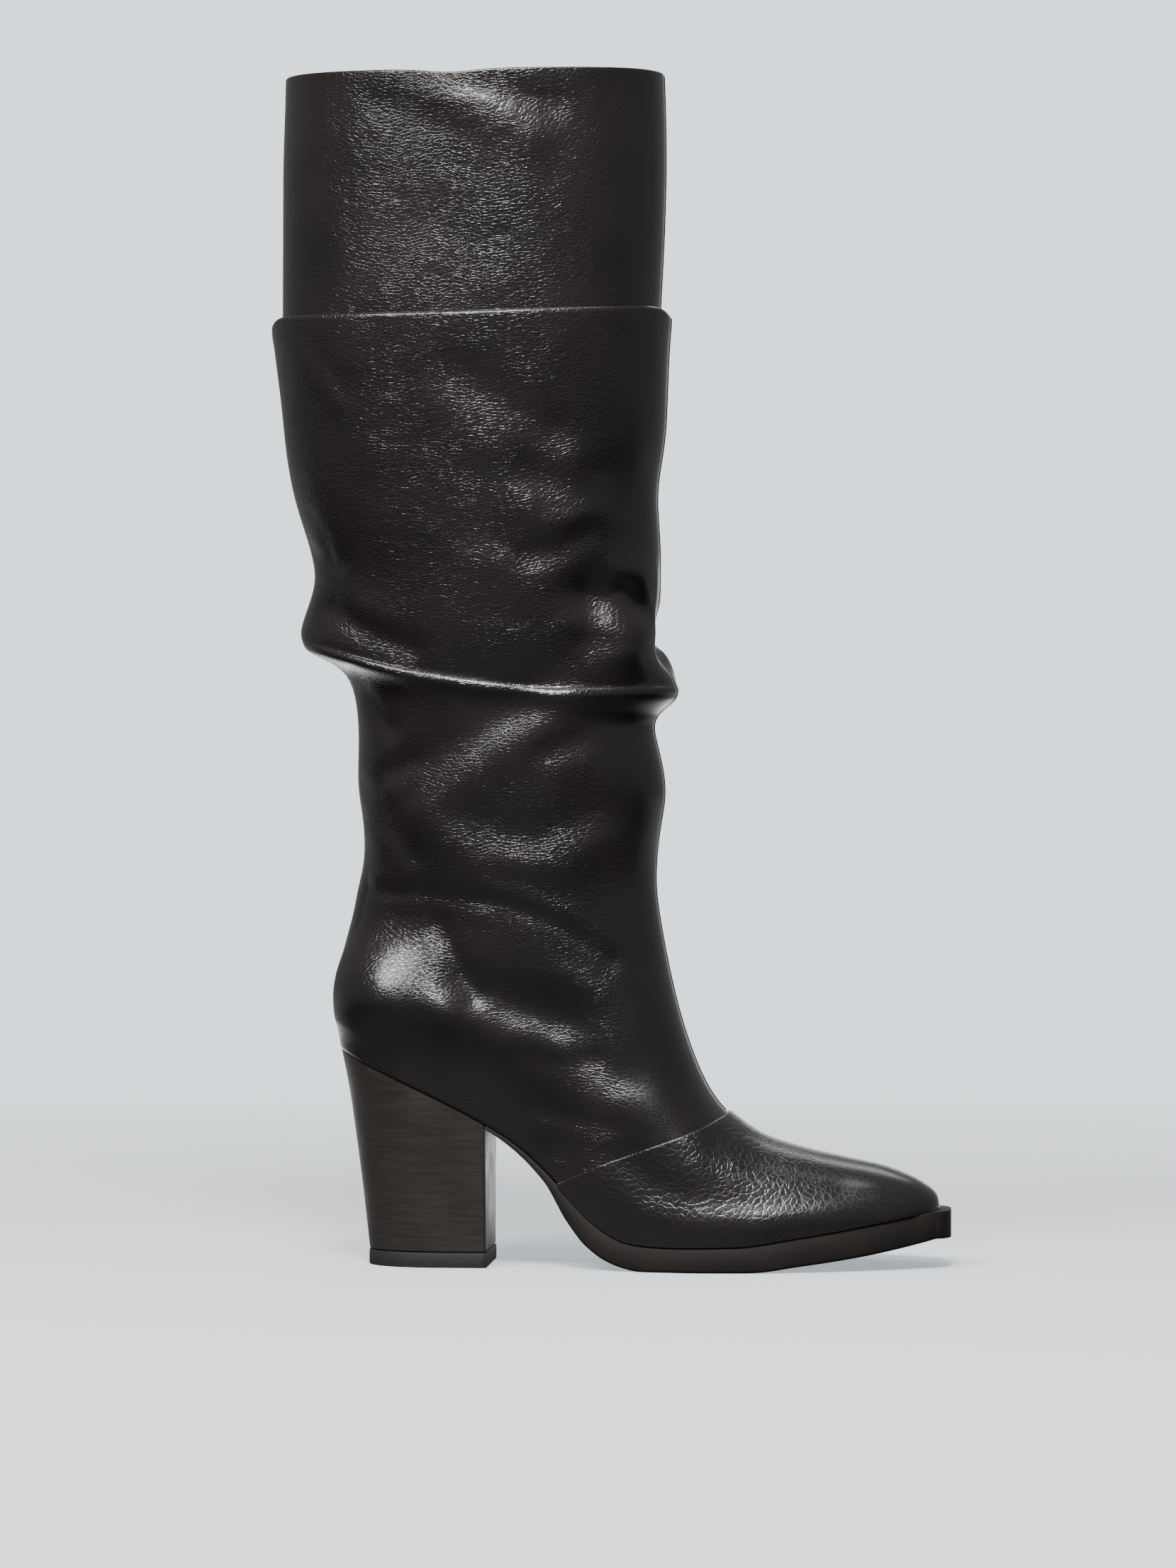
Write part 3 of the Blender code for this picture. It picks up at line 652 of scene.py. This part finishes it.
def shaft_sizes(rows):
    """Ring rows as metres: three heights, the two ends and the two half-widths."""
    rows = np.array(rows)
    rise = COLLAR_HEIGHT - ANKLE_HEIGHT
    heights = ANKLE_HEIGHT + rise * rows[:, :3]
    ends = np.column_stack([SHAFT_X - SHAFT_DEPTH * rows[:, 3], SHAFT_X + SHAFT_DEPTH * rows[:, 4]])
    return np.concatenate([heights, ends, SHAFT_WIDTH * rows[:, 5:]], axis=1)


def inset(ring, by, raised):
    """A shaft ring drawn inwards by one distance and raised by another."""
    moved = ring.copy()
    moved[:3] += raised
    moved[3] += by
    moved[4] -= by
    moved[5:] -= by
    return moved


def fold(below, lip):
    """Rings of the lapped cuff: a half turn over the lip, down inside, a tight half turn, and up again."""
    over = WALL + FOLD_GAP / 2
    under = FOLD_GAP / 2
    deep = lip + np.mean(CUFF_TUCK / (lip[:3] - below[:3])) * (below - lip)
    deep[:3] = lip[:3] - CUFF_TUCK
    rings = [inset(lip, over * (1 - np.cos(a)), over * np.sin(a)) for a in np.radians(np.arange(20, 181, 20))]
    inner_lip, inner_deep = inset(lip, 2 * over, 0), inset(deep, 2 * over, 0)
    rings += [inner_lip + t * (inner_deep - inner_lip) for t in np.linspace(0.15, 1, 5)]
    tight = np.radians([60, 120, 180])
    rings += [inset(inner_deep, under * (1 - np.cos(a)), -under * np.sin(a)) for a in tight]
    start, stop = inset(inner_deep, 2 * under, 0), inset(lip, 2 * over + 2 * under, over + FOLD_GAP)
    rings += [start + t * (stop - start) for t in np.linspace(0.15, 1, 7)]
    return np.array(rings)


def shaft_points(rings, share, outer):
    """Points of the leg: an oval section, whose height bends from the back through the side to the front."""
    high_back, high_side, high_front, behind, front, wide_out, wide_in = (a[:, None] for a in rings.T)
    x = behind + share * (front - behind)
    side = 4 * share * (1 - share)
    z = high_back + share * (high_front - high_back) + side * (high_side - (high_back + high_front) / 2)
    y = np.where(outer, -wide_out, wide_in) * oval(share)
    return np.stack([x, y, z], axis=-1)


def even_rows(table, lengths):
    """Fractional row numbers of a table of rings that lie an even step apart along the surface."""
    walked = np.concatenate([[0], np.cumsum(lengths)])
    return np.interp(np.arange(0, walked[-1], ROW_STEP), walked, np.arange(len(table)))


turn = np.linspace(0, 2 * np.pi, UPPER_COLUMNS, endpoint=False)
share = (1 - np.sign(np.cos(turn)) * np.abs(np.cos(turn)) ** (2 / OVAL_POWER)) / 2
outer = turn < np.pi
whole = np.array([foot_points(np.array(float(n)), np.array(0.5), True) for n in range(len(FOOT_RINGS))])
foot_rows = even_rows(FOOT_RINGS, np.linalg.norm(np.diff(whole, axis=0), axis=1) * 1.1)
foot = foot_points(foot_rows[:, None] + 0 * share, share + 0 * foot_rows[:, None], outer)
sections = [foot]
smoothing = [np.ones(len(foot_rows))]
leg_table = LOWER_RINGS + MIDDLE_RINGS
for table, folded in ((leg_table, True), (TOP_RINGS, False)):
    sizes = shaft_sizes(table)
    moved = np.diff(sizes, axis=0)
    lengths = np.hypot(moved[:, 1], moved[:, 5])
    if folded:
        crest = len(LOWER_RINGS) - 1
        lengths[crest - 2 : crest + 4] *= (2.0, 3.0, 4.0, 4.0, 3.0, 2.0)
    numbers = np.append(even_rows(table, lengths), len(table) - 1)
    sections.append(shaft_points(shaft_sizes(between(table, numbers)), share, outer))
    near_crest = np.exp(-(((numbers - len(LOWER_RINGS)) / 2.2) ** 2)) if folded else 0 * numbers
    smoothing.append(1 - CREST_SPARED * near_crest)
    if folded:
        rings = fold(sizes[-2], sizes[-1])
        sections.append(shaft_points(rings, share, outer))
        smoothing.append(np.zeros(len(rings)))
points = np.concatenate(sections)
weight = np.concatenate(smoothing)
weight[0] = weight[-1] = 0
for _ in range(SMOOTHING_PASSES):
    mean = 0.25 * points[:-2] + 0.5 * points[1:-1] + 0.25 * points[2:]
    points[1:-1] += weight[1:-1, None, None] * (mean - points[1:-1])

# The collar sways a little, and the cuff's lip turns down at its corners, at the back and the front.
collar = np.clip((points[..., 2] - 0.46) / 0.05, 0, 1) ** 2
points[..., 2] -= COLLAR_SWAY * collar * np.exp(-(((points[..., 0] - 0.014) / 0.014) ** 2))
lip_z = ANKLE_HEIGHT + (COLLAR_HEIGHT - ANKLE_HEIGHT) * (0.692 + 0.011 * share)
corner = np.exp(-share / 0.012) + 0.8 * np.exp(-(1 - share) / 0.010)
first_over = len(foot) + len(sections[1])
rows = np.arange(len(points))[:, None]
outer_layer = (rows < first_over + FOLD_OUTER_ROWS) & (rows > len(foot))
reach = np.where(points[..., 2] < lip_z, np.exp(-(((points[..., 2] - lip_z) / 0.007) ** 2)), 1.0)
points[..., 2] -= CORNER_DROP * corner * reach * outer_layer

# Creases of the outer side, in millimetres as the photograph shows them: the path's x and z, its half-width,
# how far it stands out or sinks in, and its kind. A crease is a bell across the path. A swell sinks in above
# the path and stands out below, so that it faces the light. The inner side has the same kind, softer.
CREASES = (
    # top of the shaft: the dent below the collar
    (((17, 504), (34, 495), (50, 487)), 12, 3.4, "swell"),
    (((-16, 494), (2, 486)), 8, -0.8, "crease"),
    (((4, 436), (20, 431), (34, 429)), 10, 0.4, "swell"),
    # slack middle
    (((-57, 398), (-46, 385), (-34, 371)), 6, 0.7, "swell"),
    (((18, 378), (40, 366), (58, 352), (72, 338)), 9, -1.2, "crease"),
    (((8, 364), (24, 352), (36, 342)), 10, 0.6, "crease"),
    (((46, 331), (55, 327), (62, 323)), 11, 3.0, "swell"),
    (((28, 305), (38, 302), (48, 300)), 8, 1.0, "swell"),
    (((46, 301), (58, 305), (70, 313)), 6, -1.4, "crease"),
    (((70, 279), (79, 277), (86, 274)), 11, 5.6, "swell"),
    (((88, 270), (87, 262)), 11, 5.0, "crease"),
    (((90, 294), (92, 280)), 9, 3.4, "crease"),
    (((72, 286), (71, 270)), 9, -2.6, "crease"),
    (((66, 342), (71, 322)), 10, 2.2, "crease"),
    (((86, 289), (91, 281)), 4, -2.4, "crease"),
    (((-50, 322), (-43, 312), (-40, 300)), 3, -0.5, "crease"),
    (((-60, 310), (-46, 303), (-36, 299)), 4, -0.9, "crease"),
    (((-58, 275), (-50, 272), (-44, 269)), 6, 0.8, "swell"),
    (((-40, 280), (-30, 274), (-20, 269), (-6, 264)), 6, -2.4, "crease"),
    # lower shaft
    (((-32, 252), (-22, 240), (-14, 229)), 4, -1.2, "crease"),
    (((0, 202), (14, 213), (28, 223), (44, 234), (56, 242)), 12, 3.2, "swell"),
    (((-14, 207), (-4, 212)), 6, 1.6, "swell"),
    (((56, 216), (66, 219)), 7, 1.2, "swell"),
    (((12, 189), (30, 180), (46, 178), (60, 181), (72, 187)), 11, 2.3, "swell"),
    (((-26, 204), (-14, 190), (-4, 176)), 6, -1.1, "crease"),
    (((-26, 188), (-18, 184)), 5, 0.5, "swell"),
    (((-26, 161), (0, 160), (20, 157), (38, 155), (54, 149), (67, 141), (81, 131)), 4, -1.2, "crease"),
    (((36, 163), (48, 160), (58, 155)), 6, 1.1, "swell"),
    # foot
    (((-12, 133), (0, 133)), 23, 11.5, "swell"),
    (((-8, 117), (6, 115)), 14, 3.0, "swell"),
    (((-28, 124), (-24, 116)), 18, 2.0, "crease"),
    (((6, 145), (16, 128), (22, 116)), 5, -1.2, "crease"),
    (((16, 115), (36, 106), (58, 99)), 13, 7.0, "swell"),
    (((62, 129), (74, 123)), 7, 1.5, "swell"),
    (((56, 84), (72, 80), (84, 76)), 13, 3.0, "swell"),
    (((44, 92), (58, 88), (74, 90)), 5, -0.9, "crease"),
    (((52, 64), (66, 61), (82, 58)), 6, 1.2, "swell"),
    # vamp
    (((84, 43), (96, 32), (112, 26), (146, 24), (176, 27)), 10, 2.2, "swell"),
)
CREASE_FADE = 0.012
INNER_SOFTNESS = 0.8


def crease_depth(x, z, paths, spread=1.0):
    """How far each point stands out, in metres. With d the distance from a path and w its half-width, a crease
    adds its height times exp(-(d/w)^2), and a swell the same times the signed d/w below the path."""
    total = np.zeros_like(x)
    for path, half, high, kind in paths:
        line = np.array(path) * 0.001
        nearest = np.full(x.shape, 1e9)
        below = np.zeros_like(x)
        for start, stop in zip(line[:-1], line[1:]):
            step = stop - start
            t = np.clip(((x - start[0]) * step[0] + (z - start[1]) * step[1]) / (step @ step), 0, 1)
            away = np.hypot(x - start[0] - t * step[0], z - start[1] - t * step[1])
            under = ((x - start[0]) * step[1] - (z - start[1]) * step[0]) / np.hypot(*step)
            closer = away < nearest
            nearest = np.where(closer, away, nearest)
            below = np.where(closer, under, below)
        width = half * spread * 0.001
        bell = np.exp(-((nearest / width) ** 2))
        total += high * 0.001 * bell * (1.0 if kind == "crease" else below / width)
    return total


def outward(points):
    """Unit normals of a grid of rings, pointing out of the boot."""
    around = np.roll(points, -1, axis=1) - np.roll(points, 1, axis=1)
    steps = np.diff(points, axis=0)
    steps /= np.maximum(np.linalg.norm(steps, axis=2, keepdims=True), 1e-12)
    up = np.concatenate([steps[:1], steps[:-1] + steps[1:], steps[-1:]])
    normal = np.cross(around, up)
    return normal / np.maximum(np.linalg.norm(normal, axis=2, keepdims=True), 1e-12)


def creased(x, y, z):
    """How far points stand out: the outer side's creases, faded out before the front and back edges, and softer
    shifted ones on the inner side. Both fade out towards the feather line."""
    outer_side = np.clip(-y / CREASE_FADE, 0, 1) ** 1.5 * crease_depth(x, z, CREASES)
    inner_side = np.clip(y / CREASE_FADE, 0, 1) ** 1.5 * crease_depth(x - 0.008, z + 0.012, CREASES, 1.15)
    above_feather = np.clip((z - feather_height(x)) / CREASE_FADE, 0, 1)
    return (outer_side + INNER_SOFTNESS * inner_side) * above_feather


normal = outward(points)
px, py, pz = points[..., 0], points[..., 1], points[..., 2]
calm = np.clip(np.arange(len(points))[::-1] / 6.0, 0, 1)[:, None]
still = weight[:, None] > 0
near_fold = np.convolve(1 - (weight > 0), np.ones(9) / 9, mode="same")[:, None]
stands_out = creased(px, py, pz) * calm * np.clip(1 - 1.2 * near_fold, 0, 1) * still
points = points + stands_out[..., None] * normal
normal = outward(points)

LINING_ROWS = 3
LINING_GRAIN = 0.3
lining = (points - WALL * normal)[::-LINING_ROWS]
lining[-1, :, 2] = feather_height(lining[-1, :, 0])
rim_turn = np.radians([30, 60, 90, 120, 150])[:, None, None]
middle = (points[-1] - normal[-1] * WALL / 2)[None]
rim = middle + WALL / 2 * (np.cos(rim_turn) * normal[-1] + np.sin(rim_turn) * np.array([0.0, 0.0, 1.0]))
closed = np.concatenate([points, rim, lining])


def new_group(name, inputs, outputs):
    """An empty node group with named float inputs and their defaults, and named outputs of the given kinds."""
    tree = bpy.data.node_groups.new(name, "ShaderNodeTree")
    for label, value in inputs:
        socket = tree.interface.new_socket(label, in_out="INPUT", socket_type="NodeSocketFloat")
        socket.default_value = value
    for label, kind in outputs:
        tree.interface.new_socket(label, in_out="OUTPUT", socket_type=kind)
    return tree, tree.nodes.new("NodeGroupInput"), tree.nodes.new("NodeGroupOutput")


def maths(nodes, links, operation, *values):
    """A Math node of sockets and numbers."""
    made = nodes.new("ShaderNodeMath")
    made.operation = operation
    for slot, value in zip(made.inputs, values):
        if isinstance(value, (int, float)):
            slot.default_value = value
        else:
            links.new(value, slot)
    return made.outputs[0]


# Grain of milled leather: pebbles between fine furrows, drawn out sideways by Stretch, with pores between.
# Strength is lower where the leather is smooth. It gives a height, and a mask of the pebbles' polished tops.
grain, given, gives = new_group(
    "leather_grain",
    (("Scale", 620.0), ("Stretch", 1.7), ("Strength", 1.0)),
    (("Height", "NodeSocketFloat"), ("Polish", "NodeSocketFloat")),
)
nodes, links = grain.nodes, grain.links
spot = nodes.new("ShaderNodeTexCoord")
warp = noise(nodes, 55.0, 2.0)
links.new(spot.outputs["Object"], warp.inputs["Vector"])
shifted = nodes.new("ShaderNodeVectorMath")
shifted.operation = "MULTIPLY_ADD"
links.new(warp.outputs["Color"], shifted.inputs[0])
shifted.inputs[1].default_value = (0.006, 0.006, 0.006)
links.new(spot.outputs["Object"], shifted.inputs[2])
parts = nodes.new("ShaderNodeSeparateXYZ")
links.new(shifted.outputs[0], parts.inputs[0])
joined = nodes.new("ShaderNodeCombineXYZ")
links.new(parts.outputs["X"], joined.inputs["X"])
links.new(parts.outputs["Y"], joined.inputs["Y"])
links.new(maths(nodes, links, "MULTIPLY", parts.outputs["Z"], given.outputs["Stretch"]), joined.inputs["Z"])
cells = nodes.new("ShaderNodeTexVoronoi")
cells.feature = "DISTANCE_TO_EDGE"
links.new(joined.outputs[0], cells.inputs["Vector"])
links.new(given.outputs["Scale"], cells.inputs["Scale"])
pebble = nodes.new("ShaderNodeMapRange")
pebble.interpolation_type = "SMOOTHSTEP"
pebble.inputs["From Max"].default_value = 0.17
links.new(cells.outputs["Distance"], pebble.inputs["Value"])
pebble = pebble.outputs["Result"]
coarse = nodes.new("ShaderNodeTexVoronoi")
coarse.feature = "DISTANCE_TO_EDGE"
links.new(joined.outputs[0], coarse.inputs["Vector"])
links.new(maths(nodes, links, "MULTIPLY", given.outputs["Scale"], 0.42), coarse.inputs["Scale"])
furrow = ranged(nodes, links, coarse.outputs["Distance"], 0.0, 0.13, 0.0, 1.0)
patchy = noise(nodes, 70.0, 3.0)
links.new(spot.outputs["Object"], patchy.inputs["Vector"])
patch = ranged(nodes, links, patchy.outputs["Fac"], 0.35, 0.62, 0.78, 1.0)
fine = noise(nodes, 2400.0, 2.0)
links.new(spot.outputs["Object"], fine.inputs["Vector"])
pebble_height = maths(nodes, links, "MULTIPLY", pebble, 0.55)
furrow_height = maths(nodes, links, "MULTIPLY", furrow, 0.45)
pore_height = maths(nodes, links, "MULTIPLY", fine.outputs["Fac"], 0.05)
height = maths(nodes, links, "ADD", pebble_height, furrow_height)
height = maths(nodes, links, "ADD", height, pore_height)
amount = maths(nodes, links, "MULTIPLY", patch, given.outputs["Strength"])
height = maths(nodes, links, "MULTIPLY", height, amount)
links.new(height, gives.inputs["Height"])
links.new(maths(nodes, links, "MULTIPLY", pebble, patch), gives.inputs["Polish"])


def leather(name, colour, scale, stretch, strength, distance, roughness, coat):
    """A leather finish: dark dye, grain from the shared group scaled by the mesh's own grain attribute,
    roughness lower on the pebbles' tops than between them, and a thin dressing as a coat."""
    made, shader, nodes, links = principled(name, colour, roughness[1])
    felt = nodes.new("ShaderNodeAttribute")
    felt.attribute_name = "grain"
    pattern = nodes.new("ShaderNodeGroup")
    pattern.node_tree = grain
    pattern.inputs["Scale"].default_value = scale
    pattern.inputs["Stretch"].default_value = stretch
    links.new(maths(nodes, links, "MULTIPLY", felt.outputs["Fac"], strength), pattern.inputs["Strength"])
    matt, polished = roughness[1], roughness[0]
    gloss = ranged(nodes, links, pattern.outputs["Polish"], 0.0, 1.0, matt, polished)
    links.new(gloss, shader.inputs["Roughness"])
    spot = nodes.new("ShaderNodeTexCoord")
    cloud = noise(nodes, 24.0, 4.0)
    links.new(spot.outputs["Object"], cloud.inputs["Vector"])
    darker = tuple(0.72 * c for c in colour)
    lighter = tuple(1.3 * c for c in colour)
    dye = ramp(nodes, links, cloud.outputs["Fac"], [(0.3, darker), (0.7, lighter)])
    links.new(dye, shader.inputs["Base Color"])
    shader.inputs["Coat Weight"].default_value = coat
    shader.inputs["Coat Roughness"].default_value = 0.22
    bumped(nodes, links, pattern.outputs["Height"], shader, 1.0, distance)
    return made


def give_grain(piece, values):
    """Writes one grain strength for each vertex into the mesh's attribute."""
    attribute = piece.data.attributes.new("grain", "FLOAT", "POINT")
    attribute.data.foreach_set("value", np.ascontiguousarray(values, dtype=np.float32).ravel())


black = leather("upper_leather", (0.0085, 0.0071, 0.0067), 430.0, 1.8, 1.0, 0.000115, (0.20, 0.29), 0.12)
# The grain is weaker up the front of the outer side, on the polished counter and just under the roll.
grained = np.ones(points.shape[:2])
grained *= 1 - 0.75 * np.clip((px - 0.078) / 0.012, 0, 1) * (py < 0)
counter = np.clip((0.135 - pz) / 0.03, 0, 1) * np.clip((0.075 - px) / 0.03, 0, 1)
below_fold = np.exp(-(((pz - 0.228) / 0.016) ** 2))
grained *= (1 - 0.55 * counter) * (1 - 0.35 * below_fold)
rim_grain = np.repeat(grained[-1:], len(rim), axis=0)
closed_grain = np.concatenate([grained, rim_grain, np.full(lining.shape[:2], LINING_GRAIN)])
upper = surface("upper_shell", closed, black, ring=True, tube=True)
give_grain(upper, closed_grain)
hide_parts("upper")
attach(upper, "root")

# Seams: the quarters are closed down the front, from the collar to the throat, and down the back to the seat.
# Each seam is rubbed open, so that two low rounded edges lie beside a fine groove.
SEAM_PROFILE = (
    # across, out, in millimetres
    (-1.6, -0.20),
    (-1.2, 0.10),
    (-0.8, 0.26),
    (-0.4, 0.24),
    (-0.15, 0.02),
    (0.0, -0.10),
    (0.15, 0.02),
    (0.4, 0.24),
    (0.8, 0.26),
    (1.2, 0.10),
    (1.6, -0.20),
)
SEAM_GRAIN = 0.15


def seam(name, column, first, last):
    """The seam's profile carried up one column of the upper: each point is the column's, plus its distance
    across along the ring, plus its height along the surface's normal."""
    line = points[first:last, column]
    across = points[first:last, (column + 1) % UPPER_COLUMNS] - points[first:last, column - 1]
    across /= np.linalg.norm(across, axis=1, keepdims=True)
    profile = np.array(SEAM_PROFILE) * 0.001
    sideways = profile[None, :, :1] * across[:, None]
    raised = profile[None, :, 1:] * normal[first:last, column][:, None]
    strip = surface(name, line[:, None] + sideways + raised, black, ring=False)
    give_grain(strip, np.full((last - first, len(profile)), SEAM_GRAIN))
    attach(strip, "root")


throat = int(np.argmax(points[:, UPPER_COLUMNS // 2, 2] > INSTEP_HEIGHT + 0.001))
seam("seam_front", UPPER_COLUMNS // 2, throat, len(points))
seam("seam_back", 0, 1, len(points))

# Vamp: a cap of the same leather, more strongly grained, lapped over the quarters. Its edge is folded under and
# stands proud, and its lower edge is lasted under with the upper's.
VAMP_THICKNESS = 0.0015
VAMP_EDGE = (
    (0.376, 0.555),
    (0.432, 0.650),
    (0.510, 0.770),
    (0.568, 0.850),
    (0.620, 0.925),
    (0.657, 1.000),
)
VAMP_COLUMNS = 281
VAMP_ROWS = 56


def sheet_normal(sheet):
    """Unit normals of an open sheet of points: its steps along the rows crossed with those up the columns."""
    facing = np.cross(np.gradient(sheet, axis=1), np.gradient(sheet, axis=0))
    return facing / np.maximum(np.linalg.norm(facing, axis=2, keepdims=True), 1e-12)


start_x = LAST_BACK_X + LAST_LENGTH * VAMP_EDGE[0][0]
span = np.linspace(-1, 1, VAMP_COLUMNS)
first = along_last(start_x)
vamp_share = 1 - (1 - first) * np.abs(span) ** 1.6
vamp_outer = span < 0
dense = np.linspace(0, len(FOOT_RINGS) - 1, 700)
web = foot_points(dense[:, None] + 0 * vamp_share, vamp_share + 0 * dense[:, None], vamp_outer)
edge_z = INSTEP_HEIGHT * smooth(VAMP_EDGE, 1, along_last(web[..., 0]))
ahead = np.clip(along_last(web[..., 0]) - VAMP_EDGE[-1][0], 0, None) * LAST_LENGTH
over = web[..., 2] - edge_z - ahead
crossing = np.argmax(over > 0, axis=0)
columns = np.arange(VAMP_COLUMNS)
before = over[np.maximum(crossing - 1, 0), columns]
after = over[crossing, columns]
top_ring = dense[crossing] - (after / np.where(after - before == 0, 1, after - before)) * (dense[1] - dense[0])
top_ring = np.maximum(top_ring, 0.02)
rise_share = 1 - (1 - np.linspace(0, 1, VAMP_ROWS)) ** 1.15
rings = rise_share[:, None] * top_ring[None]
skin = foot_points(rings, vamp_share + 0 * rings, vamp_outer)
upward = np.gradient(skin, axis=0)
upward /= np.maximum(np.linalg.norm(upward, axis=2, keepdims=True), 1e-12)
skin = skin + creased(skin[..., 0], skin[..., 1], skin[..., 2])[..., None] * sheet_normal(skin)
facing = sheet_normal(skin)
thick = CLEARANCE + VAMP_THICKNESS
shell = skin + thick * facing
half = thick / 2
hem_turn = np.radians([30, 60, 90, 120, 150, 180])[:, None, None]
hem = skin[-1] + half * facing[-1] + half * (np.cos(hem_turn) * facing[-1] + np.sin(hem_turn) * upward[-1])
cap = np.concatenate([shell, hem])
cap_leather = leather(
    "vamp_leather", (0.0085, 0.0071, 0.0068), 380.0, 1.0, 1.25, 0.000105, (0.21, 0.31), 0.15
)
vamp = surface("vamp_cap", cap, cap_leather, ring=False)
low_side = np.clip((cap[..., 2] - feather_height(cap[..., 0])) / 0.018, 0.15, 1)
vamp_grain = np.clip(1.1 - np.clip((cap[..., 0] - 0.15) / 0.035, 0, 1), 0.12, 1.0) * low_side
give_grain(vamp, vamp_grain)
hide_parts("vamp")
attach(vamp, "root")
